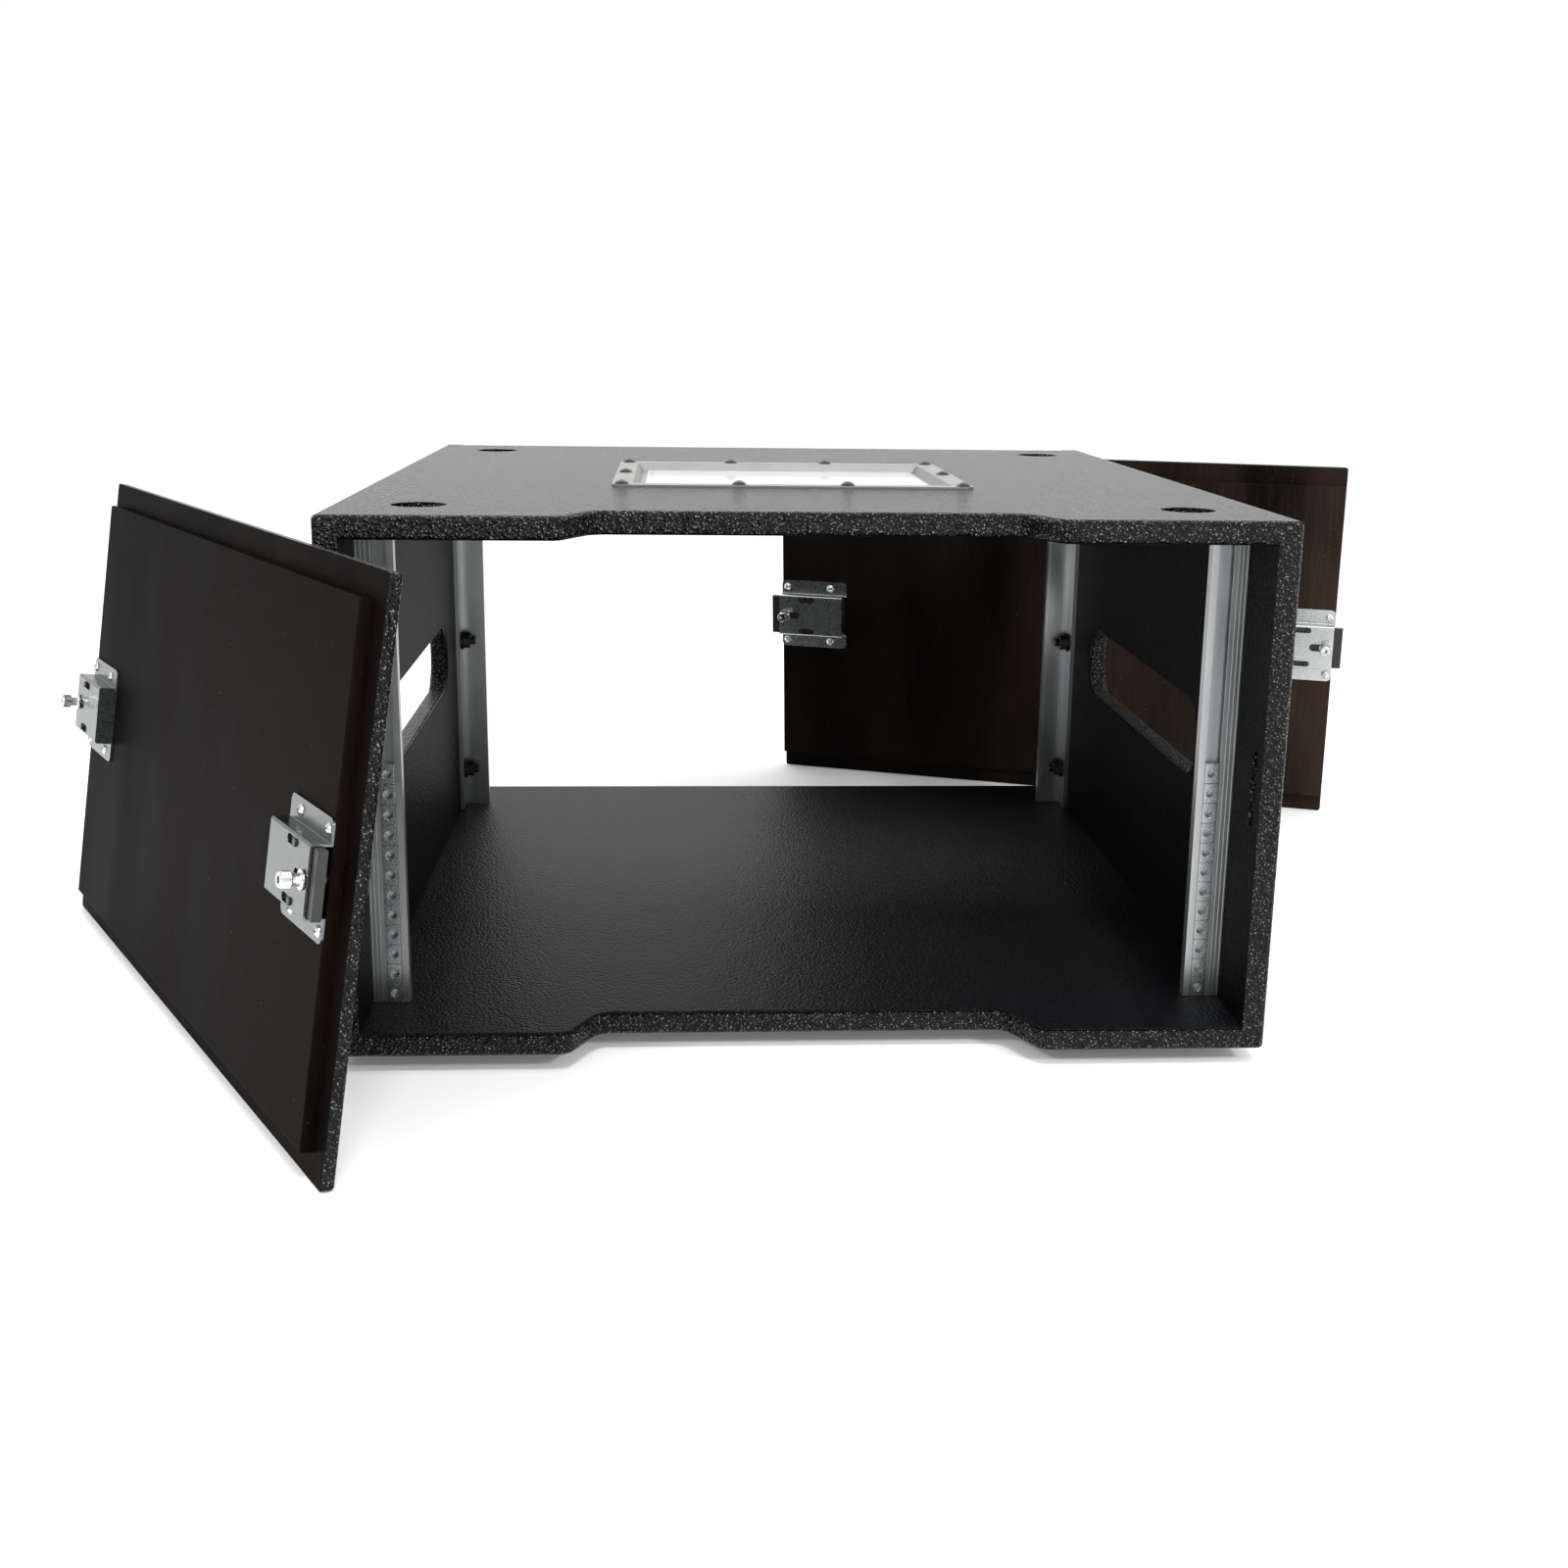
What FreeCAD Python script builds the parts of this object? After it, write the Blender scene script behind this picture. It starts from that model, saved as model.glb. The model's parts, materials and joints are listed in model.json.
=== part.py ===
"""Equipment rack case: a plywood shell with rack rails, loose slide nuts and two lift-off lids.

Millimetres, +Z up, +X to the right seen from the front, +Y to the rear.  The origin is the
centre of the underside of the bottom panel, halfway between the front and rear edges of that
panel.  The feet and both lids reach down to the surface that the case stands on.
"""
import FreeCAD, Part
import Sketcher
import math
import os
import re

SIZES = [
    # the shell; its inner width is the spacing of the rack holes and an inset on each side
    ("rail_gauge", 465.1), ("rail_hole_inset", 12.45),
    ("case_height", 296.0), ("case_depth", 560.0), ("wall", 13.0),
    ("edge_round", 3.0),
    ("notch_mouth", 262.0), ("notch_floor", 230.0), ("notch_depth", 31.0), ("notch_round", 10.0),
    ("handle_length", 300.0), ("handle_height", 47.0), ("handle_round", 2.5),
    ("keeper_width", 7.4), ("keeper_height", 43.0), ("keeper_depth", 10.0),
    # stacking recesses above, feet below
    ("recess_radius", 15.0), ("recess_depth", 6.0), ("recess_side", 47.0), ("recess_end", 58.0),
    ("foot_radius", 14.0), ("foot_tip_radius", 12.5), ("foot_height", 10.5), ("foot_taper", 1.5),
    ("foot_stem_radius", 5.0),
    # label dish in the top
    ("dish_width", 223.0), ("dish_length", 197.0), ("dish_rim", 12.5), ("dish_depth", 4.0),
    ("dish_sheet", 1.2), ("dish_slope", 4.0), ("dish_round", 1.0), ("card_gap", 3.0), ("card_thick", 0.6),
    # rack rails and their nuts
    ("rail_width", 20.7), ("rail_depth", 26.0), ("rail_setback", 50.0),
    ("rail_web", 3.0), ("rail_end_gap", 0.5), ("rail_lip", 1.2), ("rail_floor", 2.0),
    ("rail_mouth", 8.6), ("rail_cavity", 12.8), ("rail_cavity_depth", 4.0),
    ("ridge_pitch", 2.4), ("ridge_depth", 0.8), ("ridge_gaps", 3),
    ("back_groove_width", 0.9), ("back_groove_depth", 0.6),
    ("rail_bolt_end", 31.0), ("rail_bolt_back", 15.0),
    ("nut_count", 12), ("nut_pitch", 11.7), ("nut_gap", 0.2), ("nut_thread_radius", 2.5),
    ("slide_gap", 0.3), ("fit_gap", 0.1),
    # lids
    ("lid_plate", 7.0), ("lid_panel", 7.0), ("panel_gap", 1.5), ("lid_round", 2.5),
    ("front_lid_turn", 61.0), ("front_lid_lean", 9.0), ("front_lid_touch", 124.0), ("lean_gap", 0.6),
    ("rear_lid_turn", 21.2), ("rear_lid_lean", -3.6), ("rear_lid_away", 91.4),
    # latches
    ("latch_length", 61.0), ("latch_height", 61.0), ("hat_height", 37.0), ("hat_rise", 11.0),
    ("latch_sheet", 1.2), ("latch_bend", 0.4), ("hat_set_back", 2.0), ("latch_corner", 4.0),
    ("bolt_reach", 7.0), ("bolt_travel", 10.0), ("bolt_length", 46.0), ("bolt_thick", 5.0),
    ("bolt_screw_inset", 6.0), ("bolt_screw_radius", 2.5), ("slot_width", 6.2),
    ("lug_radius", 2.0), ("lug_inset", 20.5), ("lug_offset", 14.3), ("lug_rise", 1.0),
    ("cap_head_radius", 4.25), ("cap_head_height", 5.8), ("washer_radius", 5.0),
    ("washer_thick", 1.0), ("collar_radius", 3.4), ("collar_height", 4.4),
    ("socket_radius", 2.3), ("socket_depth", 3.0),
    ("knob_length", 26.0), ("knob_width", 16.0), ("knob_thick", 7.0), ("knob_round", 2.0),
    # screws
    ("pan_radius", 3.3), ("pan_tip_radius", 2.0), ("pan_rise", 2.0), ("pan_shank_radius", 1.7),
    ("button_radius", 4.6), ("button_tip_radius", 2.6), ("button_rise", 2.7), ("button_shank_radius", 2.0),
    ("hex_radius", 5.8), ("hex_height", 5.0), ("flange_radius", 7.0), ("flange_thick", 2.0),
    ("stud_radius", 3.0), ("stud_rise", 4.0),
]
X, Y, Z = FreeCAD.Vector(1, 0, 0), FreeCAD.Vector(0, 1, 0), FreeCAD.Vector(0, 0, 1)
TURNS = {
    "+z": FreeCAD.Rotation(),
    "-z": FreeCAD.Rotation(X, 180),
    "+x": FreeCAD.Rotation(Y, 90),
    "-x": FreeCAD.Rotation(Y, -90),
    "+y": FreeCAD.Rotation(X, -90),
    "-y": FreeCAD.Rotation(X, 90),
}

doc = FreeCAD.newDocument("EquipmentRackCase")
sheet = doc.addObject("Spreadsheet::Sheet", "Sizes")
for row, (alias, number) in enumerate(SIZES, start=1):
    sheet.set("A%d" % row, alias)
    sheet.set("B%d" % row, str(number))
    sheet.setAlias("B%d" % row, alias)
doc.recompute()
ALIASES = {alias for alias, _ in SIZES}
nodes = []


def formula(text):
    """Turn words such as "wall / 2" into an expression on the Sizes sheet."""
    return re.sub(r"[a-z_]+", lambda m: "Sizes." + m.group() if m.group() in ALIASES else m.group(), str(text))


def value(text):
    return float(sheet.evalExpression(formula(text)))


def bind(obj, prop, text):
    obj.setExpression(prop, formula(text))


def put(obj, corner, turn="+z"):
    """Bind the position of a primitive, after turning its own Z to the named direction."""
    obj.Placement = FreeCAD.Placement(FreeCAD.Vector(), TURNS[turn])
    for letter, text in zip("xyz", corner):
        bind(obj, "Placement.Base." + letter, text)
    return obj


def box(lengths, corner):
    obj = doc.addObject("Part::Box", "Block")
    for prop, text in zip(("Length", "Width", "Height"), lengths):
        bind(obj, prop, text)
    return put(obj, corner)


def rod(radius, height, base, turn="+z"):
    obj = doc.addObject("Part::Cylinder", "Rod")
    bind(obj, "Radius", radius)
    bind(obj, "Height", height)
    return put(obj, base, turn)


def cone(radius, tip_radius, height, base, turn="+z"):
    obj = doc.addObject("Part::Cone", "Taper")
    bind(obj, "Radius1", radius)
    bind(obj, "Radius2", tip_radius)
    bind(obj, "Height", height)
    return put(obj, base, turn)


def hexagon(radius, height, base, turn="+z"):
    obj = doc.addObject("Part::Prism", "Hexagon")
    obj.Polygon = 6
    bind(obj, "Circumradius", radius)
    bind(obj, "Height", height)
    return put(obj, base, turn)


def fuse(pieces):
    obj = doc.addObject("Part::MultiFuse", "Union")
    obj.Shapes = pieces
    obj.Refine = True
    return obj


def together(pieces):
    obj = doc.addObject("Part::Compound", "Group")
    obj.Links = pieces
    return obj


def cut(base, tools):
    obj = doc.addObject("Part::Cut", "Difference")
    obj.Base = base
    obj.Tool = fuse(tools) if len(tools) > 1 else tools[0]
    return obj


def slot(width, start, end, across, base, height):
    """A stadium-ended cutter along X, from the formula start to end, centred on across in Y."""
    radius = "(%s) / 2" % width
    block = box(["(%s) - (%s) - (%s)" % (end, start, width), width, height],
                ["(%s) + %s" % (start, radius), "(%s) - %s" % (across, radius), base])
    ends = [rod(radius, height, ["(%s) + %s" % (start, radius), across, base]),
            rod(radius, height, ["(%s) - %s" % (end, radius), across, base])]
    return fuse([block] + ends)


def rounded(base, radius, wanted):
    """Fillet the edges of base for which wanted(edge) is true, within what its walls allow."""
    doc.recompute()
    chosen = [n for n, edge in enumerate(base.Shape.Edges, start=1) if not edge.Degenerated and wanted(edge)]
    obj = doc.addObject("Part::Fillet", "Rounded")
    obj.Base = base
    obj.Edges = [(n, radius, radius) for n in chosen]
    return obj


def straight(edge, direction):
    """True for a straight edge along the direction."""
    if edge.Curve.TypeId != "Part::GeomLine":
        return False
    return abs(abs(edge.tangentAt(edge.FirstParameter).dot(direction)) - 1) < 1e-6


def middle(edge):
    return edge.valueAt((edge.FirstParameter + edge.LastParameter) / 2)


def profile(name, plane, points, depth):
    """A body padded from a closed outline whose corners are formulas on the named origin plane."""
    body = doc.addObject("PartDesign::Body", name)
    sketch = body.newObject("Sketcher::SketchObject", name + "Outline")
    origin_plane = [f for f in body.Origin.OriginFeatures if f.Role == plane][0]
    sketch.AttachmentSupport = [(origin_plane, "")]
    sketch.MapMode = "FlatFace"
    corners = [FreeCAD.Vector(value(a), value(b), 0) for a, b in points]
    count = len(corners)
    for n in range(count):
        sketch.addGeometry(Part.LineSegment(corners[n], corners[(n + 1) % count]), False)
    for n in range(count):
        sketch.addConstraint(Sketcher.Constraint("Coincident", n, 2, (n + 1) % count, 1))
    for n, (across, along) in enumerate(points):
        for kind, text, number in (("DistanceX", across, corners[n].x), ("DistanceY", along, corners[n].y)):
            index = sketch.addConstraint(Sketcher.Constraint(kind, -1, 1, n, 1, number))
            sketch.setExpression("Constraints[%d]" % index, formula(text))
    pad = body.newObject("PartDesign::Pad", name + "Pad")
    pad.Profile = sketch
    bind(pad, "Length", depth)
    body.Tip = pad
    return body


def keep(obj, label, placement=None):
    """Make obj the sub-part called label, at its own place."""
    obj.Label = label
    if placement is not None:
        obj.Placement = placement
    nodes.append(obj)
    return obj


# Formulas that several pieces share.
HALF_IN = "(rail_gauge / 2 + rail_hole_inset)"
HALF_OUT = "(rail_gauge / 2 + rail_hole_inset + wall)"
FRONT, REAR = "(-case_depth / 2)", "(case_depth / 2)"
MID_HEIGHT = "(case_height / 2)"
PANEL_HALF = "(rail_gauge / 2 + rail_hole_inset - panel_gap)"
BOLT_BASE = "(hat_rise - latch_sheet - slide_gap - bolt_thick)"
BOLT_MIDDLE = "(hat_rise - latch_sheet - slide_gap - bolt_thick / 2)"
SLOT_OUTER = "(bolt_screw_inset - slot_width / 2)"
SLOT_INNER = "(bolt_screw_inset + bolt_travel + slot_width / 2)"
SIDES = (("left", -1), ("right", 1))
ENDS = (("front", -1), ("rear", 1))


def screw(kind, base, shank):
    """A pan or button-head screw that stands on base, with its shank below it."""
    x, y, z = base
    head = cone(kind + "_radius", kind + "_tip_radius", kind + "_rise", base)
    stem = rod(kind + "_shank_radius", shank, [x, y, "%s - (%s)" % (z, shank)])
    return fuse([head, stem])


def corner_spots(x, y):
    return [(sx + x, sy + y) for sx in ("-", "") for sy in ("-", "")]


STACK_SPOTS = corner_spots("(%s - recess_side)" % HALF_OUT, "(case_depth / 2 - recess_end)")
DISH_EDGE_X, DISH_EDGE_Y = "(dish_width / 2 - dish_rim / 2)", "(dish_length / 2 - dish_rim / 2)"
DISH_SPOTS = corner_spots(DISH_EDGE_X, DISH_EDGE_Y)
DISH_SPOTS += corner_spots("(dish_width * 0.15)", DISH_EDGE_Y)
DISH_SPOTS += [("-" + DISH_EDGE_X, "0"), (DISH_EDGE_X, "0")]


def deck(name, base_z):
    """A horizontal panel between the sides, with the finger notch in its front edge."""
    notch_back = FRONT + " + notch_depth"
    outline = [("-" + HALF_IN, FRONT), ("-notch_mouth / 2", FRONT), ("-notch_floor / 2", notch_back),
               ("notch_floor / 2", notch_back), ("notch_mouth / 2", FRONT), (HALF_IN, FRONT),
               (HALF_IN, REAR), ("-" + HALF_IN, REAR)]
    panel = profile(name, "XY_Plane", outline, "wall")
    bind(panel, "Placement.Base.z", base_z)
    mouth, front = value("notch_mouth / 2") + 1, value(FRONT)
    notched = rounded(panel, value("notch_round"), lambda e: straight(e, Z) and abs(middle(e).x) < mouth)
    deepest = front + value("notch_depth") + 1
    return rounded(notched, value("edge_round"), lambda e: not straight(e, Z) and not straight(e, Y)
                   and middle(e).y < deepest)


def make_decks():
    keep(cut(deck("Bottom", "0"), [
        rod("foot_stem_radius + fit_gap", "wall * 0.7", [x, y, "0"]) for x, y in STACK_SPOTS]), "bottom_panel")
    top = "case_height"
    wells = [rod("recess_radius", "recess_depth", [x, y, top + " - recess_depth"]) for x, y in STACK_SPOTS]
    screw_holes = [rod("button_shank_radius + fit_gap", "wall * 0.6", [x, y, top + " - wall * 0.6"])
                   for x, y in DISH_SPOTS]
    tray_width = "(dish_width - 2 * dish_rim + 2 * dish_sheet)"
    tray_length = "(dish_length - 2 * dish_rim + 2 * dish_sheet)"
    tray_depth = "(dish_depth + dish_sheet)"
    pocket = box([tray_width, tray_length, tray_depth],
                 ["-%s / 2" % tray_width, "-%s / 2" % tray_length, top + " - " + tray_depth])
    keep(cut(deck("Top", "case_height - wall"), wells + screw_holes + [pocket]), "top_panel")


def around_hand_slot(edge):
    """Whether an edge of a side panel, in its own frame, borders the hand slot on a flat face."""
    spot = middle(edge)
    inside = abs(spot.x) <= value("handle_length / 2") + 0.01
    level = abs(spot.y - value(MID_HEIGHT)) < value("handle_height / 2") + 0.01
    return inside and level and not straight(edge, Z)


def make_sides():
    """Side panels: the hand slot, and a blind keeper slot near each end for the latch bolts."""
    side_turn = FreeCAD.Rotation(FreeCAD.Vector(1, 1, 1), 120)
    for name, sign in SIDES:
        inner, outer = ("0", "wall") if sign > 0 else ("-wall", "0")
        panel = box(["case_depth + lid_plate", "case_height", "wall"], [FRONT, "0", inner])
        outer_z = value("wall") if sign > 0 else -value("wall")
        front = value(FRONT)
        smooth = rounded(panel, value("edge_round"), lambda e: abs(middle(e).z - outer_z) < 0.01
                         or abs(middle(e).x - front) < 0.01 < abs(middle(e).z))
        hand = slot("handle_height", "-handle_length / 2", "handle_length / 2", MID_HEIGHT, inner, "wall")
        keeper_base = "0" if sign > 0 else "-keeper_depth"
        keepers = [box(["keeper_width", "keeper_height", "keeper_depth"],
                       ["%d * (case_depth / 2 - lid_panel - %s) - keeper_width / 2" % (end, BOLT_MIDDLE),
                        MID_HEIGHT + " - keeper_height / 2", keeper_base]) for _, end in ENDS]
        stud_base = "0" if sign > 0 else "-wall * 0.7"
        studs = [rod("stud_radius + fit_gap", "wall * 0.7", [y, z, stud_base])
                 for end in (-1, 1) for y, z in rail_bolt_spots(end)]
        open_side = rounded(cut(smooth, [hand]), value("handle_round"), around_hand_slot)
        body = cut(open_side, keepers + studs)
        keep(body, name + "_side_panel",
             FreeCAD.Placement(FreeCAD.Vector(sign * value(HALF_IN), 0, 0), side_turn))


def rail_bolt_spots(end):
    """Depth and height of the three bolts that hold a rail."""
    depth = "%d * (case_depth / 2 - rail_setback - rail_bolt_back)" % end
    spread = "(case_height / 2 - wall - rail_bolt_end)"
    return [(depth, MID_HEIGHT + " + %d * %s" % (step, spread)) for step in (-1, 0, 1)]


def make_dish():
    """A pressed label dish: a flat rim on the panel and a tray whose walls slope to its floor."""
    top, rim_top = "case_height", "case_height + dish_sheet"
    inner_width, inner_length = "(dish_width - 2 * dish_rim)", "(dish_length - 2 * dish_rim)"
    rim = box(["dish_width", "dish_length", "dish_sheet"], ["-dish_width / 2", "-dish_length / 2", top])
    tray = box([inner_width + " + 2 * dish_sheet", inner_length + " + 2 * dish_sheet", "dish_depth + dish_sheet"],
               ["-%s / 2 - dish_sheet" % inner_width, "-%s / 2 - dish_sheet" % inner_length,
                top + " - dish_depth - dish_sheet"])
    hollow = doc.addObject("Part::Wedge", "Hollow")
    for prop, text in (("Ymin", "0"), ("Ymax", "dish_depth + dish_sheet"),
                       ("Xmin", "-%s / 2 + dish_slope" % inner_width), ("Xmax", "%s / 2 - dish_slope" % inner_width),
                       ("Zmin", "-%s / 2 + dish_slope" % inner_length), ("Zmax", "%s / 2 - dish_slope" % inner_length),
                       ("X2min", "-%s / 2" % inner_width), ("X2max", "%s / 2" % inner_width),
                       ("Z2min", "-%s / 2" % inner_length), ("Z2max", "%s / 2" % inner_length)):
        bind(hollow, prop, text)
    put(hollow, ["0", "0", top + " - dish_depth"], "-y")
    holes = [rod("button_shank_radius + fit_gap", "dish_sheet", [x, y, top]) for x, y in DISH_SPOTS]
    blank = rounded(fuse([rim, tray]), value("dish_rim / 2"), lambda e: straight(e, Z)
                    and middle(e).z > value(top) and abs(middle(e).x) > value("dish_width / 2") - 0.01)
    mouth_x, mouth_y = value(inner_width + " / 2") + 0.01, value(inner_length + " / 2") + 0.01
    pressed = rounded(cut(blank, [hollow]), value("dish_round"), lambda e: middle(e).z > value(top)
                      and abs(middle(e).x) < mouth_x and abs(middle(e).y) < mouth_y)
    keep(cut(pressed, holes), "label_dish")
    card_width = "(%s - 2 * dish_slope - 2 * card_gap)" % inner_width
    card_length = "(%s - 2 * dish_slope - 2 * card_gap)" % inner_length
    keep(box([card_width, card_length, "card_thick"],
             ["-%s / 2" % card_width, "-%s / 2" % card_length, top + " - dish_depth"]), "label_card")
    keep(together([screw("button", [x, y, rim_top], "wall / 2") for x, y in DISH_SPOTS]), "label_dish_screws")


def make_feet():
    """Solid rubber feet, each held by a moulded stem in a blind hole of the bottom panel."""
    names = ("front_left", "rear_left", "front_right", "rear_right")
    straight_height = "(foot_height - foot_taper)"
    for name, (x, y) in zip(names, STACK_SPOTS):
        keep(fuse([
            rod("foot_stem_radius", "wall * 0.6", [x, y, "0"]),
            rod("foot_radius", straight_height, [x, y, "0"], "-z"),
            cone("foot_radius", "foot_tip_radius", "foot_taper", [x, y, "-" + straight_height], "-z")]),
            name + "_foot")


def make_rail(end_name, end, side_name, side):
    """An extruded rail: ridged edge by the wall, a mouth for slide nuts, and a web bolted to the wall."""
    mouth_near, mouth_far = "(rail_hole_inset - rail_mouth / 2)", "(rail_hole_inset + rail_mouth / 2)"
    cavity_near, cavity_far = "(rail_hole_inset - rail_cavity / 2)", "(rail_hole_inset + rail_cavity / 2)"
    cavity_back = "(rail_lip + rail_cavity_depth)"
    back = "(rail_lip + rail_cavity_depth + rail_floor)"
    groove_floor = back + " - back_groove_depth"
    outline = [("0", "0")]
    for ridge in range(int(value("ridge_gaps"))):
        start = "%g * ridge_pitch" % (ridge + 0.25)
        finish = "%g * ridge_pitch" % (ridge + 0.65)
        outline += [(start, "0"), (start, "ridge_depth"), (finish, "ridge_depth"), (finish, "0")]
    outline += [(mouth_near, "0"), (mouth_near, "rail_lip"), (cavity_near, "rail_lip"),
                (cavity_near, cavity_back), (cavity_far, cavity_back), (cavity_far, "rail_lip"),
                (mouth_far, "rail_lip"), (mouth_far, "0"), ("rail_width", "0"), ("rail_width", back)]
    for start in ("rail_width - 2 * back_groove_width", "rail_web + 4 * back_groove_width",
                  "rail_web + 2 * back_groove_width"):
        outline += [(start + " + back_groove_width", back), (start + " + back_groove_width", groove_floor),
                    (start, groove_floor), (start, back)]
    outline += [("rail_web", back), ("rail_web", "rail_depth"), ("0", "rail_depth")]
    signed = [("%d * (%s)" % (-side, u), "%d * (%s)" % (-end, d)) for u, d in outline]
    length = "(case_height - 2 * wall - 2 * rail_end_gap)"
    rail = profile("Rail", "XY_Plane", signed, length)
    wall_x = "%d * %s" % (side, HALF_IN)
    face_y = "%d * (case_depth / 2 - rail_setback)" % end
    put(rail, [wall_x, face_y, "wall + rail_end_gap"])
    inward = "+x" if side < 0 else "-x"
    spots = rail_bolt_spots(end)
    base_x = wall_x if side < 0 else "%s - rail_web" % wall_x
    holes = [rod("stud_radius + fit_gap", "rail_web", [base_x, y, z], "+x") for y, z in spots]
    keep(cut(rail, holes), "%s_%s_rail" % (end_name, side_name))
    bolts = []
    for y, z in spots:
        def at(inset):
            return ["%s + %d * (%s)" % (wall_x, -side, inset), y, z]
        stud_start = "-wall * 0.6"
        bolts.append(fuse([
            rod("stud_radius", "wall * 0.6 + rail_web + flange_thick + hex_height + stud_rise", at(stud_start), inward),
            rod("flange_radius", "flange_thick", at("rail_web"), inward),
            hexagon("hex_radius", "hex_height", at("rail_web + flange_thick"), inward)]))
    keep(together(bolts), "%s_%s_rail_bolts" % (end_name, side_name))


def make_nuts(end_name, end, side_name, side):
    """A pile of slide nuts that lies at the foot of its rail."""
    hole_x = "%d * rail_gauge / 2" % side
    face_y = "%d * (case_depth / 2 - rail_setback)" % end
    nuts = []
    shank_height = "(nut_pitch - nut_gap)"
    body_width, neck_width = "(rail_cavity - 2 * slide_gap)", "(rail_mouth - 2 * slide_gap)"
    body_deep, neck_deep = "(rail_cavity_depth - 2 * slide_gap)", "(rail_lip + slide_gap)"
    for number in range(int(value("nut_count"))):
        base_z = "wall + slide_gap + %d * nut_pitch" % number
        near = {"neck": "0", "body": "(rail_lip + slide_gap)"}
        blocks = []
        for part, width, deep in (("neck", neck_width, neck_deep), ("body", body_width, body_deep)):
            start_y = "%s + %s" % (face_y, near[part]) if end < 0 else "%s - %s - %s" % (face_y, near[part], deep)
            blocks.append(box([width, deep, shank_height], ["%s - %s / 2" % (hole_x, width), start_y, base_z]))
        total = "(rail_lip + rail_cavity_depth)"
        bore_y = face_y if end < 0 else "%s - %s" % (face_y, total)
        bore = rod("nut_thread_radius", total, [hole_x, bore_y, "%s + %s / 2" % (base_z, shank_height)], "+y")
        nuts.append(cut(fuse(blocks), [bore]))
    keep(together(nuts), "%s_%s_slide_nuts" % (end_name, side_name))


LATCH_SPOTS = [(x, y) for x in ("-5", "-(latch_length - 15.5)")
               for y in ("-(hat_height + latch_height) / 4", "(hat_height + latch_height) / 4")]


def make_lid(end_name, plate_half, pose):
    """A lid in its own frame: X to the right and Y up its inner face, Z out of that face."""
    panel_half_height = "(case_height / 2 - wall - panel_gap)"
    plate = box(["2 * " + plate_half, "case_height", "lid_plate"], ["-" + plate_half, "0", "-lid_plate"])
    outside = -value("lid_plate")
    smooth = rounded(plate, value("lid_round"), lambda e: abs(middle(e).z - outside) < 0.01 or straight(e, Z))
    through = []
    for base, thick in (("-lid_plate", "lid_plate"), ("0", "lid_panel")):
        through.append([])
        for sign in (-1, 1):
            ends = sorted(["%d * (%s - %s)" % (sign, PANEL_HALF, inset) for inset in (SLOT_OUTER, SLOT_INNER)],
                          key=value)
            through[-1].append(slot("slot_width", ends[0], ends[1], MID_HEIGHT, base, thick))
    keep(cut(smooth, through[0]), end_name + "_lid_plate", pose)
    panel = box(["2 * " + PANEL_HALF, "2 * " + panel_half_height, "lid_panel"],
                ["-" + PANEL_HALF, MID_HEIGHT + " - " + panel_half_height, "0"])
    softened = rounded(panel, value("lid_round / 2"), lambda e: middle(e).z > 0.01)
    pilots = [rod("pan_shank_radius + fit_gap", "lid_panel * 0.9",
                  ["%d * (%s + %s)" % (sign, PANEL_HALF, x), "%s + %s" % (MID_HEIGHT, y), "lid_panel * 0.1"])
              for sign in (-1, 1) for x, y in LATCH_SPOTS]
    keep(cut(softened, through[1] + pilots), end_name + "_lid_panel", pose)
    for side_name, sign in SIDES:
        turn = FreeCAD.Rotation(Z, 0 if sign > 0 else 180)
        spot = FreeCAD.Vector(sign * value(PANEL_HALF), value(MID_HEIGHT), value("lid_panel"))
        make_latch("%s_lid_%s" % (end_name, side_name), pose * FreeCAD.Placement(spot, turn))


def round_bends(strip):
    """Round the outside of a hat-shaped strip's upper bends, and the insides of its lower bends."""
    def at(edge, z):
        off = abs(abs(middle(edge).y) - value("hat_height / 2")) + abs(middle(edge).z - value(z))
        return straight(edge, X) and off < 0.01
    upper = rounded(strip, value("latch_bend + latch_sheet"), lambda e: at(e, "hat_rise"))
    return rounded(upper, value("latch_bend"), lambda e: at(e, "latch_sheet"))


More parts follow.
